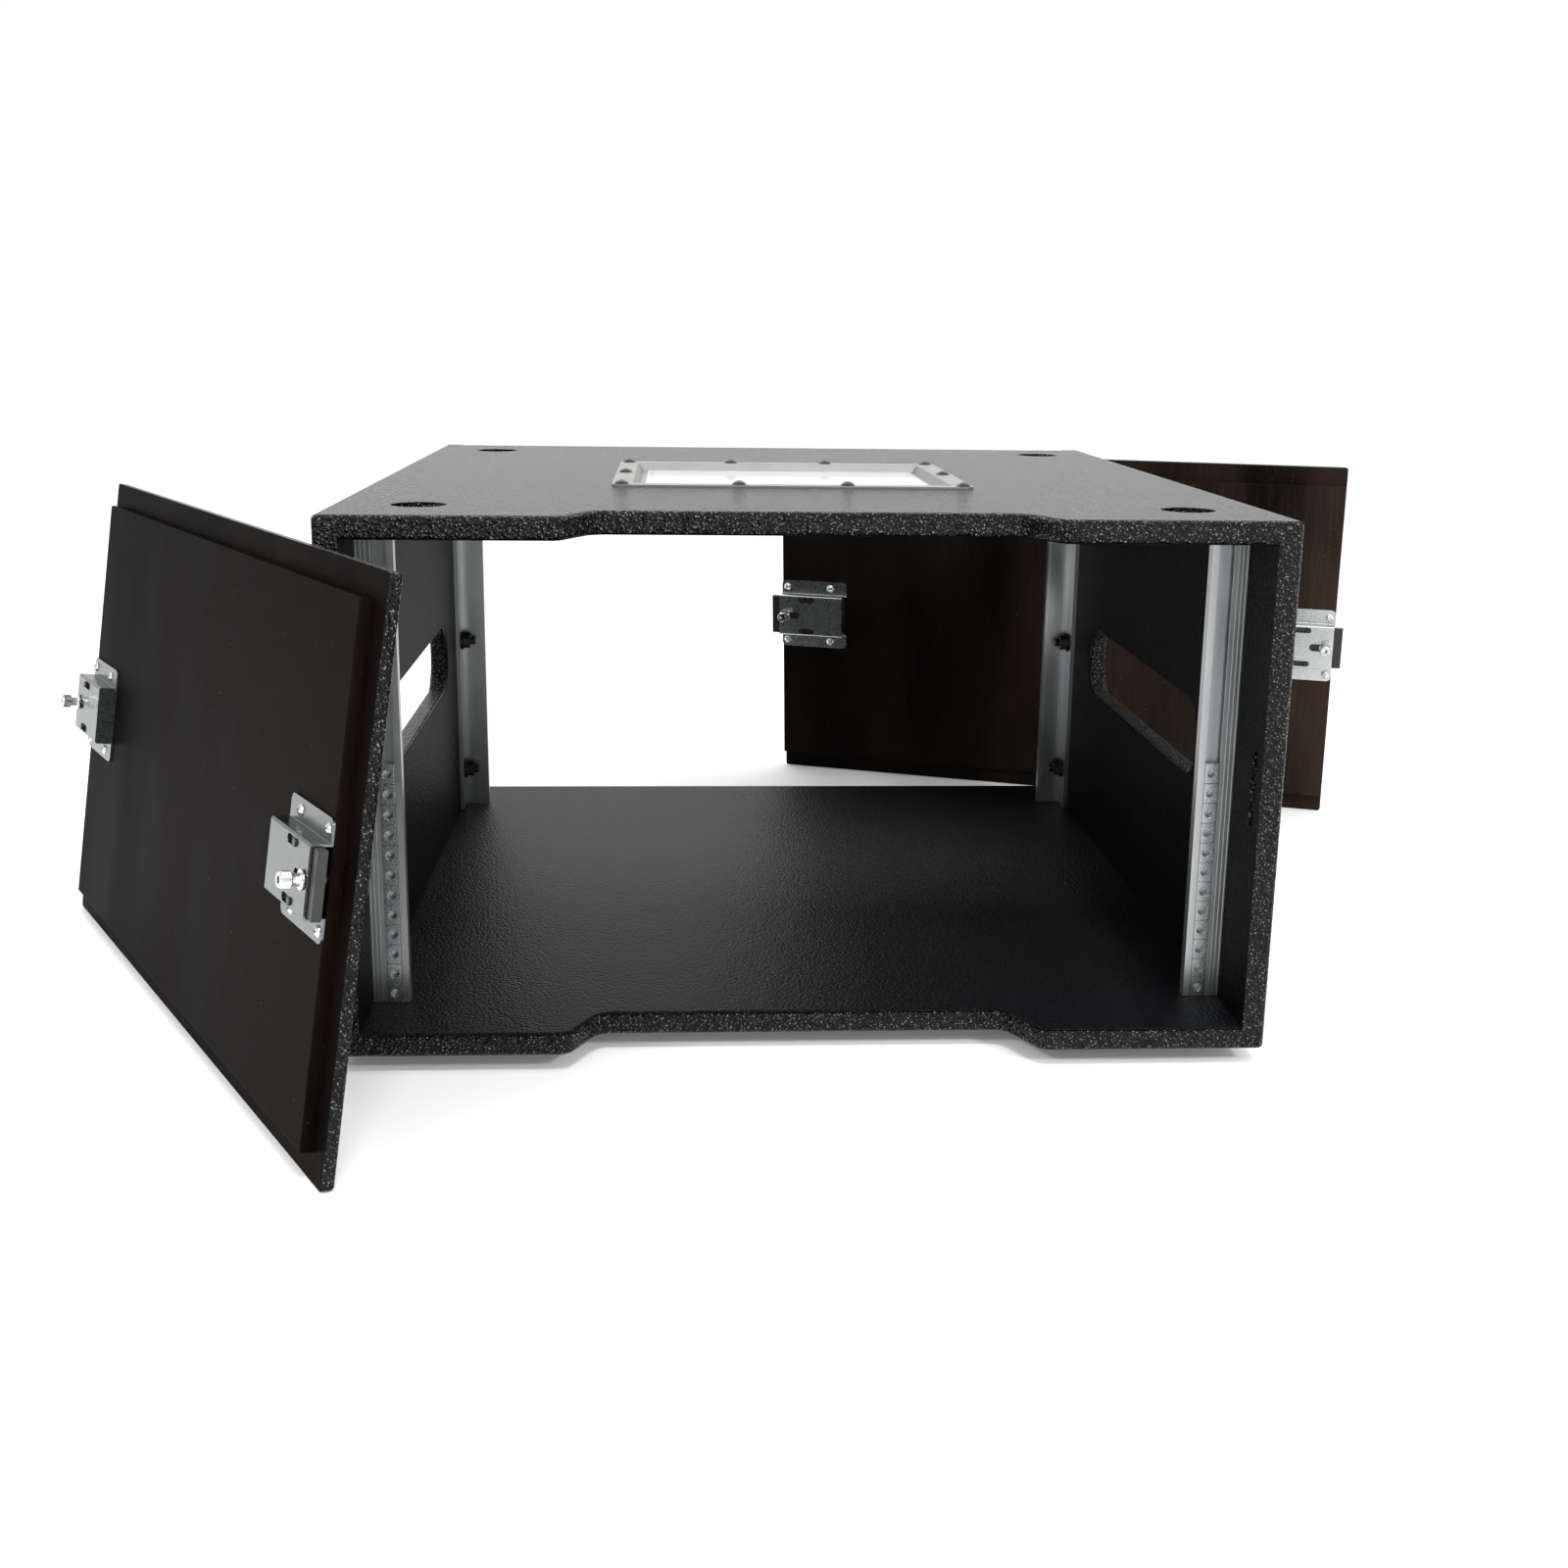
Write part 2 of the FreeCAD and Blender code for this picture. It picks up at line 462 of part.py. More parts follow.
def make_latch(name, pose):
    """A slide-bolt latch: X out past the panel's edge from X = 0, Z up from the panel's face."""
    flange, hat, inner_hat = "latch_height / 2", "hat_height / 2", "(hat_height / 2 - latch_sheet)"
    half = [(flange, "0"), (flange, "latch_sheet"), (hat, "latch_sheet"), (hat, "hat_rise")]
    under = [("-" + inner_hat, "0"), ("-" + inner_hat, "hat_rise - latch_sheet"),
             (inner_hat, "hat_rise - latch_sheet"), (inner_hat, "0")]
    outline = half + [("-" + y, z) for y, z in reversed(half)] + under
    strip = profile("Strip", "YZ_Plane", outline, "latch_length")
    put(strip, ["-latch_length", "0", "0"])
    trim = box(["hat_set_back", "hat_height", "hat_rise"], ["-latch_length", "-hat_height / 2", "latch_sheet"])
    flap = box(["latch_sheet", "hat_height", "hat_rise"], ["-latch_length + hat_set_back", "-hat_height / 2", "0"])
    shaped = fuse([cut(strip, [trim]), flap])
    cornered = rounded(shaped, value("latch_corner"), lambda e: straight(e, Z)
                       and abs(abs(middle(e).y) - value(flange)) < 0.01)
    blank = round_bends(cornered)
    face = "hat_rise - latch_sheet"
    openings = [slot("slot_width", "-" + SLOT_INNER, "-" + SLOT_OUTER, "0", face, "latch_sheet")]
    lug_slot = "2 * lug_radius + 2 * slide_gap"
    for y in ("-lug_offset", "lug_offset"):
        openings.append(slot(lug_slot, "-(lug_inset + bolt_travel + lug_radius + slide_gap)",
                             "-(lug_inset - lug_radius - slide_gap)", y, face, "latch_sheet"))
    openings += [rod("pan_shank_radius + fit_gap", "latch_sheet", [x, y, "0"]) for x, y in LATCH_SPOTS]
    keep(cut(blank, openings), name + "_latch", pose)
    keep(together([screw("pan", [x, y, "latch_sheet"], "latch_sheet + lid_panel * 0.8")
                   for x, y in LATCH_SPOTS]), name + "_latch_screws", pose)
    tongue_half = "(%s - slide_gap)" % inner_hat
    tongue = box(["bolt_length", "2 * " + tongue_half, "bolt_thick"],
                 ["bolt_reach - bolt_length", "-" + tongue_half, BOLT_BASE])
    lugs = [rod("lug_radius", "hat_rise + lug_rise - " + BOLT_BASE, ["-lug_inset", y, BOLT_BASE])
            for y in ("-lug_offset", "lug_offset")]
    bore = rod("bolt_screw_radius + fit_gap", "bolt_thick", ["-bolt_screw_inset", "0", BOLT_BASE])
    keep(cut(fuse([tongue] + lugs), [bore]), name + "_bolt", pose)
    outside = "(lid_panel + lid_plate + slide_gap)"
    above = "(hat_rise + slide_gap)"
    shank = rod("bolt_screw_radius", "%s + %s + knob_thick / 2" % (above, outside),
                ["-bolt_screw_inset", "0", "-%s - knob_thick / 2" % outside])
    washer = rod("washer_radius", "washer_thick", ["-bolt_screw_inset", "0", above])
    collar_base = above + " + washer_thick"
    collar = rod("collar_radius", "collar_height", ["-bolt_screw_inset", "0", collar_base])
    head_base = collar_base + " + collar_height"
    head = rod("cap_head_radius", "cap_head_height", ["-bolt_screw_inset", "0", head_base])
    socket = hexagon("socket_radius", "socket_depth",
                     ["-bolt_screw_inset", "0", head_base + " + cap_head_height - socket_depth"])
    keep(cut(fuse([shank, washer, collar, head]), [socket]), name + "_cap_screw", pose)
    grip = box(["knob_length", "knob_width", "knob_thick"],
               ["-knob_length - %s" % SLOT_OUTER, "-knob_width / 2", "-%s - knob_thick" % outside])
    soft_grip = rounded(grip, value("knob_round"), lambda e: middle(e).z < -value(outside) - 0.01)
    well = rod("bolt_screw_radius + fit_gap", "knob_thick / 2 + fit_gap",
               ["-bolt_screw_inset", "0", "-%s - knob_thick / 2 - fit_gap" % outside])
    keep(cut(soft_grip, [well]), name + "_knob", pose)


def lid_turn(turn, lean):
    """Turn a lid that faces the front by turn about +Z, with its top leaning back by lean."""
    return FreeCAD.Rotation(Z, -value(turn)) * FreeCAD.Rotation(X, 90 - value(lean))


def front_lid_pose():
    """The front lid stands on the floor and leans its outer face on the front left corner."""
    turned = lid_turn("front_lid_turn", "front_lid_lean")
    touch = turned.multVec(FreeCAD.Vector(value("front_lid_touch"), value("case_height"),
                                          -value("lid_plate + lean_gap")))
    place = FreeCAD.Vector(-value(HALF_OUT), value(FRONT), 0) - touch
    place.z = -value("foot_height") + value("lid_plate") * math.sin(math.radians(value("front_lid_lean")))
    return FreeCAD.Placement(place, turned)


def rear_lid_pose():
    """The rear lid stands behind the right side, nearly upright."""
    turned = lid_turn("rear_lid_turn", "rear_lid_lean")
    place = FreeCAD.Vector(value(HALF_OUT), value(REAR + " + rear_lid_away"), -value("foot_height"))
    return FreeCAD.Placement(place, turned)


def check_and_write():
    doc.recompute()
    failed = [obj.Name for obj in doc.Objects if "Invalid" in obj.State or "Error" in obj.State]
    if failed:
        raise SystemExit("failed objects: %s" % failed)
    for obj in nodes:
        if obj.Shape.isNull() or not obj.Shape.isValid() or not obj.Shape.Solids:
            raise SystemExit("bad shape: %s" % obj.Label)
    os.makedirs("parts", exist_ok=True)
    for obj in nodes:
        obj.Shape.exportStep("parts/%s.step" % obj.Label)
        print("%-28s %3d solids %12.1f mm3" % (obj.Label, len(obj.Shape.Solids), obj.Shape.Volume))


make_decks()
make_sides()
make_dish()
make_feet()
for rail_end in ENDS:
    for rail_side in SIDES:
        make_rail(*rail_end, *rail_side)
        make_nuts(*rail_end, *rail_side)
make_lid("front", HALF_OUT, front_lid_pose())
make_lid("rear", PANEL_HALF, rear_lid_pose())
check_and_write()
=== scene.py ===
"""Looks of the equipment rack case: textured paint, stained lids, zinc latches and plain aluminium rails."""
import json
import math

import bmesh
import bpy
from mathutils import Matrix, Vector


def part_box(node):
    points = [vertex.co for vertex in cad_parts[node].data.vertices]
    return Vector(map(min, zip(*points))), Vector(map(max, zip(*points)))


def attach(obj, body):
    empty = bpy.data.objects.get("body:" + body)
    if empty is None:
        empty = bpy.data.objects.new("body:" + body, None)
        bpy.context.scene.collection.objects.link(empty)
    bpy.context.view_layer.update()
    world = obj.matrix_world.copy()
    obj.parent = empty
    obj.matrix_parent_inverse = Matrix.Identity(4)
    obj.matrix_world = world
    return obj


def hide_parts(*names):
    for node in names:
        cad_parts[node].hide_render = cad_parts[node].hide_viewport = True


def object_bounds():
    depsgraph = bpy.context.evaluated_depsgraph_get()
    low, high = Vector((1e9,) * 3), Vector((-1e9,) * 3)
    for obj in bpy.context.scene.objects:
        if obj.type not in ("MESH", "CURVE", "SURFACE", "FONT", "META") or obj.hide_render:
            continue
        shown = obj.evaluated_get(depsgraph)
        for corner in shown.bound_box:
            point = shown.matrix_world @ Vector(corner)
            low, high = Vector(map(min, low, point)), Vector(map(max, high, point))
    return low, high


MM = 0.001
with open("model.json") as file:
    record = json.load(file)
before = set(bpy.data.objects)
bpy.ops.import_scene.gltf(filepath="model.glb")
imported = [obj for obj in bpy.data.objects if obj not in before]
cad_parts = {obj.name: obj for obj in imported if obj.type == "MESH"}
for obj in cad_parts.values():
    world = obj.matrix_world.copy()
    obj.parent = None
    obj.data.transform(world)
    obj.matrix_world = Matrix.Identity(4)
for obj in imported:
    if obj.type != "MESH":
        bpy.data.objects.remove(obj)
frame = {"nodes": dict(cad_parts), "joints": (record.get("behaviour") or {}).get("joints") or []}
cad_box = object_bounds()
nodes = frame["nodes"]
joints = {joint["name"]: joint for joint in frame["joints"]}

# Camera: place in metres, turns in degrees.
CAMERA_PLACE = Vector((-0.0703, -1.2304, 0.3917))
CAMERA_YAW, CAMERA_PITCH, CAMERA_ROLL = 3.36, 13.99, -0.74
CAMERA_LENS = 42.14

# Materials: the height of the bumps, and how strongly paint and wood shine.
PEBBLE_DEPTH = 1.3 * MM
SHELL_SHINE, WOOD_SHINE = 0.14, 0.008
# The second paint colour is a light grey painted on the pebble crests as painted glints.
PAINT_BLACK, PAINTED_GLINT_GREY = (0.0010, 0.0010, 0.0012), (0.17, 0.175, 0.18)
INNER_BLACK, INNER_DUST = (0.0022, 0.0025, 0.0032), (0.05, 0.05, 0.055)
BARE_WOOD = (0.09, 0.055, 0.035)

# Shapes: points closer than this are one, and neighbouring screws differ by this turn in radians.
WELD_GAP = 0.005 * MM
SCREW_TURN = 2.4
SCREW_SIDES, CAP_SCREW_SIDES = 72, 96
FLOOR_HALF_SIDE = 12.0

# Lights: name, place, target, size and power in watts.
LIGHTS = (
    ("behind", (0.0, 1.6, 1.9), (0.0, 0.0, 0.2), (2.4, 1.0), 24.0),
    ("front_top", (0.2, -1.5, 2.2), (0.0, -0.1, 0.1), (0.6, 0.3), 28.0),
    ("front_left", (-1.4, -1.9, 1.5), (0.0, -0.2, 0.1), (0.3, 0.25), 22.0),
    ("front_right", (1.4, -2.0, 1.4), (0.0, -0.2, 0.1), (0.35, 0.25), 28.0),
)


# ---------------------------------------------------------------- materials

class Shader:
    """A principled material with short calls for the nodes that feed it."""

    def __init__(self, name, **constants):
        self.material = bpy.data.materials.new(name)
        self.material.use_nodes = True
        self.tree = self.material.node_tree
        self.surface = self.tree.nodes["Principled BSDF"]
        for socket, number in constants.items():
            self.surface.inputs[socket.replace("_", " ")].default_value = number
        self.place = self.add("ShaderNodeTexCoord").outputs["Object"]
        self.normal = self.place.node.outputs["Normal"]

    def add(self, kind, **settings):
        node = self.tree.nodes.new(kind)
        for key, setting in settings.items():
            setattr(node, key, setting)
        return node

    def link(self, source, node, socket):
        if isinstance(source, bpy.types.NodeSocket):
            self.tree.links.new(source, node.inputs[socket])
        else:
            node.inputs[socket].default_value = source

    def stretch(self, scale, turn=0.0):
        """Object coordinates, turned by degrees about Z and stretched by scale."""
        mapping = self.add("ShaderNodeMapping")
        mapping.inputs["Rotation"].default_value[2] = math.radians(turn)
        mapping.inputs["Scale"].default_value = scale
        self.link(self.place, mapping, "Vector")
        return mapping.outputs[0]

    def noise(self, scale, detail=2.0, rough=0.5, at=None):
        node = self.add("ShaderNodeTexNoise")
        self.link(at or self.place, node, "Vector")
        self.link(scale, node, "Scale")
        self.link(detail, node, "Detail")
        self.link(rough, node, "Roughness")
        return node.outputs["Fac"]

    def cells(self, scale, soft):
        node = self.add("ShaderNodeTexVoronoi", feature="SMOOTH_F1")
        self.link(self.place, node, "Vector")
        self.link(scale, node, "Scale")
        self.link(soft, node, "Smoothness")
        return node.outputs["Distance"]

    def math(self, operation, a, b=0.0, c=0.0):
        node = self.add("ShaderNodeMath", operation=operation)
        for socket, source in enumerate((a, b, c)):
            self.link(source, node, socket)
        return node.outputs[0]

    def ramp(self, source, low, high, start=0.0, end=1.0):
        node = self.add("ShaderNodeMapRange", clamp=True)
        for socket, number in zip(("From Min", "From Max", "To Min", "To Max"), (low, high, start, end)):
            self.link(number, node, socket)
        self.link(source, node, "Value")
        return node.outputs[0]

    def mix(self, factor, a, b):
        """Blend two colours."""
        node = self.add("ShaderNodeMix", data_type="RGBA")
        self.link(factor, node, 0)
        for socket, colour in ((6, a), (7, b)):
            self.link(colour if isinstance(colour, bpy.types.NodeSocket) else (*colour, 1.0), node, socket)
        return node.outputs[2]

    def blend(self, factor, a, b):
        """Blend two numbers."""
        node = self.add("ShaderNodeMix", data_type="FLOAT")
        for socket, source in zip((0, 2, 3), (factor, a, b)):
            self.link(source, node, socket)
        return node.outputs[0]

    def facing(self, direction):
        """One where the surface faces a direction, zero where it looks elsewhere."""
        node = self.add("ShaderNodeVectorMath", operation="DOT_PRODUCT")
        self.link(self.normal, node, 0)
        self.link(direction, node, 1)
        return self.ramp(node.outputs["Value"], 0.6, 0.8)

    def bump(self, height, depth):
        node = self.add("ShaderNodeBump")
        self.link(1.0, node, "Strength")
        self.link(depth, node, "Distance")
        self.link(height, node, "Height")
        self.link(node.outputs[0], self.surface, "Normal")

    def finish(self, colour=None, roughness=None):
        if colour is not None:
            self.link(colour, self.surface, "Base Color")
        if roughness is not None:
            self.link(roughness, self.surface, "Roughness")
        return self.material


def pebbles(shader):
    """The sprayed texture: the height of round, uneven pebbles, and light specks painted on their crests as
    painted glints.
    """
    coarse = shader.math("POWER", shader.cells(560.0, 0.3), 1.5)
    patches = shader.noise(120.0, 2.0)
    fine = shader.noise(1100.0, 1.0)
    pebble = shader.math("MULTIPLY_ADD", coarse, -1.0, 1.0)
    grain = shader.math("MULTIPLY_ADD", fine, 0.35, pebble)
    height = shader.math("MULTIPLY_ADD", patches, 0.3, grain)
    # Painted highlight: light specks on the pebble crests stand in for glints.
    painted_glints = shader.math("MULTIPLY", shader.ramp(fine, 0.53, 0.64), shader.ramp(pebble, 0.70, 0.86))
    return height, painted_glints


def black_with_painted_glints(shader, painted_glints):
    # Black paint, painted light grey on the crest specks as painted glints.
    return shader.mix(painted_glints, PAINT_BLACK, PAINTED_GLINT_GREY)


def shell_paint(name, inward, inner_shine):
    """Sprayed black texture, rougher in its gloss and flatter on the face that looks into the case."""
    shader = Shader(name)
    height, painted_glints = pebbles(shader)
    inside = shader.facing(inward)
    shader.bump(shader.math("MULTIPLY", height, shader.blend(inside, 1.0, 0.3)), PEBBLE_DEPTH)
    roughness = shader.blend(shader.noise(700.0), 0.14, 0.22)
    dust = shader.ramp(shader.noise(1600.0, 0.0), 0.74, 0.80)
    dull = shader.mix(dust, INNER_BLACK, INNER_DUST)
    shader.link(shader.blend(inside, SHELL_SHINE, inner_shine), shader.surface, "Specular IOR Level")
    colour = shader.mix(inside, black_with_painted_glints(shader, painted_glints), dull)
    return shader.finish(colour, shader.blend(inside, roughness, 0.42))


def lid_wood(name, turn, dark, light, painted_light_fade, inner=None):
    """Dark stained plywood with upright grain, its colour painted ever lighter between two given X places as
    painted light falling across the lid.

    With inner, the direction the inner face looks, all other faces get the sprayed texture and its painted
    glints."""
    shader = Shader(name)
    grain = shader.noise(1.0, 5.0, 0.6, shader.stretch((420.0, 420.0, 7.0), turn))
    broad = shader.noise(1.0, 3.0, 0.5, shader.stretch((16.0, 16.0, 4.0), turn))
    split = shader.add("ShaderNodeSeparateXYZ")
    shader.link(shader.place, split, 0)
    # Painted light: from one X place to the other the colour is painted lighter, as light falling across the
    # lid.
    thin = shader.ramp(split.outputs[0], *painted_light_fade)
    shade = shader.ramp(shader.math("MULTIPLY_ADD", grain, 0.35, broad), 0.45, 0.95)
    stain_and_painted_light = shader.math("MULTIPLY", shade, shader.math("MULTIPLY_ADD", thin, 0.8, 0.2))
    scratch = shader.noise(1.0, 1.0, 0.4, shader.stretch((900.0, 900.0, 14.0), turn + 3.0))
    nick = shader.noise(420.0, 1.0)
    marks = shader.math("MAXIMUM", shader.ramp(scratch, 0.80, 0.86), shader.ramp(nick, 0.78, 0.82))
    colour = shader.mix(marks, shader.mix(stain_and_painted_light, dark, light), BARE_WOOD)
    height = shader.math("MULTIPLY", grain, 0.04)
    if inner is None:
        shader.link(WOOD_SHINE, shader.surface, "Specular IOR Level")
        shader.bump(height, PEBBLE_DEPTH)
        return shader.finish(colour, shader.ramp(broad, 0.3, 0.7, 0.40, 0.50))
    face = shader.facing(inner)
    pebble, painted_glints = pebbles(shader)
    shader.link(shader.blend(face, SHELL_SHINE, WOOD_SHINE), shader.surface, "Specular IOR Level")
    shader.bump(shader.blend(face, pebble, height), PEBBLE_DEPTH)
    colour = shader.mix(face, black_with_painted_glints(shader, painted_glints), colour)
    return shader.finish(colour, shader.blend(face, 0.2, 0.45))


def sheet_zinc(name, tint, low=0.22, high=0.32):
    """Plated sheet metal with faint clouds; low and high bound its roughness."""
    shader = Shader(name, Metallic=1.0)
    bloom = shader.noise(45.0, 3.0, 0.5)
    speck = shader.noise(1400.0, 2.0)
    dark = tuple(0.9 * part for part in tint)
    colour = shader.mix(shader.ramp(bloom, 0.3, 0.7), dark, tint)
    shader.bump(speck, 0.008 * MM)
    return shader.finish(colour, shader.ramp(speck, 0.3, 0.7, low, high))


def drawn_aluminium(name):
    """Extruded metal, its colour in fine lines along the length."""
    shader = Shader(name, Metallic=1.0)
    lines = shader.noise(1.0, 3.0, 0.6, shader.stretch((2600.0, 2600.0, 2.0)))
    clouds = shader.noise(25.0, 2.0)
    tone = shader.math("MULTIPLY_ADD", lines, 0.5, shader.math("MULTIPLY", clouds, 0.5))
    colour = shader.mix(tone, (0.32, 0.335, 0.34), (0.50, 0.515, 0.52))
    return shader.finish(colour, shader.ramp(clouds, 0.3, 0.7, 0.28, 0.36))


def smooth_black(name, roughness=0.32, shine=0.5):
    shader = Shader(name, Specular_IOR_Level=shine)
    grain = shader.noise(1500.0, 2.0)
    colour = shader.mix(shader.noise(60.0), (0.006, 0.006, 0.0065), (0.014, 0.014, 0.015))
    shader.bump(grain, 0.03 * MM)
    return shader.finish(colour, shader.ramp(grain, 0.3, 0.7, roughness, roughness + 0.12))


def rubber(name):
    shader = Shader(name, Specular_IOR_Level=0.3)
    grain = shader.noise(900.0, 3.0)
    shader.bump(grain, 0.06 * MM)
    colour = shader.mix(shader.noise(40.0), (0.010, 0.010, 0.010), (0.020, 0.020, 0.021))
    return shader.finish(colour, shader.ramp(grain, 0.3, 0.7, 0.62, 0.78))


def blank_card(name):
    """White card with a thin grey line inside its edge."""
    shader = Shader(name, Specular_IOR_Level=0.5, Coat_Weight=0.6, Coat_Roughness=0.08)
    low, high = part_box("label_card")
    split = shader.add("ShaderNodeSeparateXYZ")
    shader.link(shader.place, split, 0)
    edges = []
    for axis in (0, 1):
        centre = (low[axis] + high[axis]) / 2
        across = shader.math("ABSOLUTE", shader.math("SUBTRACT", split.outputs[axis], centre))
        edges.append(shader.math("SUBTRACT", (high[axis] - low[axis]) / 2, across))
    inset = shader.math("MINIMUM", *edges)
    line = shader.math("COMPARE", inset, 3.0 * MM, 0.35 * MM)
    clouds = shader.noise(30.0)
    paper = shader.mix(clouds, (0.54, 0.55, 0.56), (0.60, 0.61, 0.62))
    colour = shader.mix(line, paper, (0.35, 0.36, 0.37))
    return shader.finish(colour, shader.ramp(clouds, 0.3, 0.7, 0.35, 0.45))


def stage_floor(name):
    """Pale floor, lit a little by itself so that it reads as white."""
    shader = Shader(name, Specular_IOR_Level=0.2, Emission_Strength=0.12)
    colour = shader.mix(shader.noise(3.0), (0.88, 0.88, 0.88), (0.90, 0.90, 0.90))
    shader.link(colour, shader.surface, "Emission Color")
    return shader.finish(colour, 0.9)


# ---------------------------------------------------------------- CAD nodes

def dress(name, material, edge=0.0, steps=2):
    """Give a CAD node its material and, with edge, a small rounding along its sharp edges."""
    obj = nodes[name]
    obj.data.materials.clear()
    obj.data.materials.append(material)
    if not edge:
        return
    weld = obj.modifiers.new("weld", "WELD")
    weld.merge_threshold = WELD_GAP
    flat = obj.modifiers.new("flat", "DECIMATE")
    flat.decimate_type = "DISSOLVE"
    flat.angle_limit = math.radians(1.0)
    bevel = obj.modifiers.new("edge", "BEVEL")
    bevel.width = edge
    bevel.segments = steps
    bevel.limit_method = "ANGLE"
    bevel.angle_limit = math.radians(35.0)
    even = obj.modifiers.new("even", "WEIGHTED_NORMAL")
    even.keep_sharp = False


def lid_axes(lid):
    """The lid's right, from a bolt joint, and the direction its inner face looks, from its panel."""
    panel = nodes[lid + "_panel"].data
    largest = max(panel.polygons, key=lambda face: face.area).normal.copy()
    right = Vector(joints[lid + "_left_bolt_slide"]["axis"])
    if largest.dot(Vector((0, -1, 0))) < 0:
        largest.negate()
    return right, largest


def islands(name):
    """The separate solids of a node, each as a list of points."""
    mesh = bmesh.new()
    mesh.from_mesh(nodes[name].data)
    bmesh.ops.remove_doubles(mesh, verts=mesh.verts, dist=WELD_GAP)
    mesh.verts.ensure_lookup_table()
    groups, seen = [], set()
    for start in mesh.verts:
        if start.index in seen:
            continue
        stack, group = [start], []
        seen.add(start.index)
        while stack:
            point = stack.pop()
            group.append(point.co.copy())
            for edge in point.link_edges:
                other = edge.other_vert(point)
                if other.index not in seen:
                    seen.add(other.index)
                    stack.append(other)
        groups.append(group)
    mesh.free()
    return groups


def span(points, axis):
    """The axis line through a solid's middle, and where the solid starts and ends along it."""
    reach = [point.dot(axis) for point in points]
    side = axis.orthogonal().normalized()
    other = axis.cross(side)
    middle = Vector((0, 0, 0))
    for direction in (side, other):
        across = [point.dot(direction) for point in points]
        middle += direction * (min(across) + max(across)) / 2
    return middle, min(reach), max(reach)


# ---------------------------------------------------------------- new pieces

def new_piece(name, mesh, material, body, replaced, smooth=40.0):
    data = bpy.data.meshes.new(name)
    bmesh.ops.recalc_face_normals(mesh, faces=mesh.faces)
    for edge in mesh.edges:
        edge.smooth = not edge.is_manifold or edge.calc_face_angle() < math.radians(smooth)
    for face in mesh.faces:
        face.smooth = True
    mesh.to_mesh(data)
    mesh.free()
    data.materials.append(material)
    obj = bpy.data.objects.new(name, data)
    bpy.context.scene.collection.objects.link(obj)
    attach(obj, body)
    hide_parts(replaced)
    return obj


def stack_rings(mesh, rings):
    """Close a list of rings of points, first to last, with a fan at each end."""
    rows = [[mesh.verts.new(point) for point in ring] for ring in rings]
    count = len(rows[0])
    for lower, upper in zip(rows, rows[1:]):
        for index in range(count):
            following = (index + 1) % count
            mesh.faces.new((lower[index], lower[following], upper[following], upper[index]))
    for row, ends in ((rows[0], rings[0]), (rows[-1], rings[-1])):
        tip = mesh.verts.new(sum(ends, Vector()) / count)
        for index in range(count):
            mesh.faces.new((row[index], row[(index + 1) % count], tip))


def ring(radius, height, count):
    """A level ring; radius is a number or a function of the angle."""
    points = []
    for index in range(count):
        angle = 2 * math.pi * index / count
        reach = radius(angle) if callable(radius) else radius
        points.append(Vector((reach * math.cos(angle), reach * math.sin(angle), height)))
    return points


def hexagon(apothem):
    """The outline of a hexagon socket, as a radius for each angle."""
    return lambda angle: apothem / math.cos((angle + math.pi / 6) % (math.pi / 3) - math.pi / 6)


def cross(half_width, half_length):
    """The outline of a cross recess, as a radius for each angle."""
    def radius(angle):
        near = (angle + math.pi / 4) % (math.pi / 2) - math.pi / 4
        along = half_length / math.cos(near)
        if abs(along * math.sin(near)) <= half_width:
            return along
        return half_width / abs(math.sin(near))
    return radius


def screw_rings(radius, rise, recess, depth, shank, length):
    """A domed screw: rings from the shank's tip to the bottom of its recess. Z = 0 is under the head."""
    count = SCREW_SIDES
    dome_radius = (radius ** 2 + rise ** 2) / (2 * rise)
    rings = [ring(shank * 0.6, -length, count), ring(shank, -length + shank * 0.5, count),
             ring(shank, 0.0, count), ring(radius * 0.97, 0.0, count), ring(radius, 0.08 * rise, count)]

    def dome(reach):
        return max(0.0, math.sqrt(max(dome_radius ** 2 - reach ** 2, 0.0)) - (dome_radius - rise))

    for step in range(1, 9):
        share = step / 8.0

        def edge(angle, share=share):
            return radius * (1 - share) + recess(angle) * share
        layer = ring(edge, 0.0, count)
        for point in layer:
            reach = math.hypot(point.x, point.y)
            point.z = max(dome(reach), 0.08 * rise)
        rings.append(layer)
    rings.append([Vector((p.x * 0.97, p.y * 0.97, rise - depth)) for p in rings[-1]])
    rings.append([Vector((p.x * 0.3, p.y * 0.3, rise - depth * 1.15)) for p in rings[-1]])
    return rings


def placed(rings, axis, centre, base, turn):
    """Stand rings on a plane across an axis."""
    stand = axis.to_track_quat("Z", "Y").to_matrix() @ Matrix.Rotation(turn, 3, "Z")
    return [[centre + axis * base + stand @ point for point in layer] for layer in rings]


def screws(node, body, axis, rings_of, rise, material):
    """Replace every screw of a node with a detailed one on the same axis, its head rise high."""
    mesh = bmesh.new()
    for index, points in enumerate(islands(node)):
        centre, bottom, top = span(points, axis)
        rings = rings_of(top - rise - bottom)
        stack_rings(mesh, placed(rings, axis, centre, top - rise, index * SCREW_TURN))
    return new_piece(node + "_detail", mesh, material, body, node)


def pan_rings(length):
    return screw_rings(3.3 * MM, 2.0 * MM, cross(0.45 * MM, 1.75 * MM), 1.3 * MM, 1.7 * MM, length)


def button_rings(length):
    return screw_rings(4.6 * MM, 2.7 * MM, hexagon(1.45 * MM), 1.6 * MM, 2.0 * MM, length)


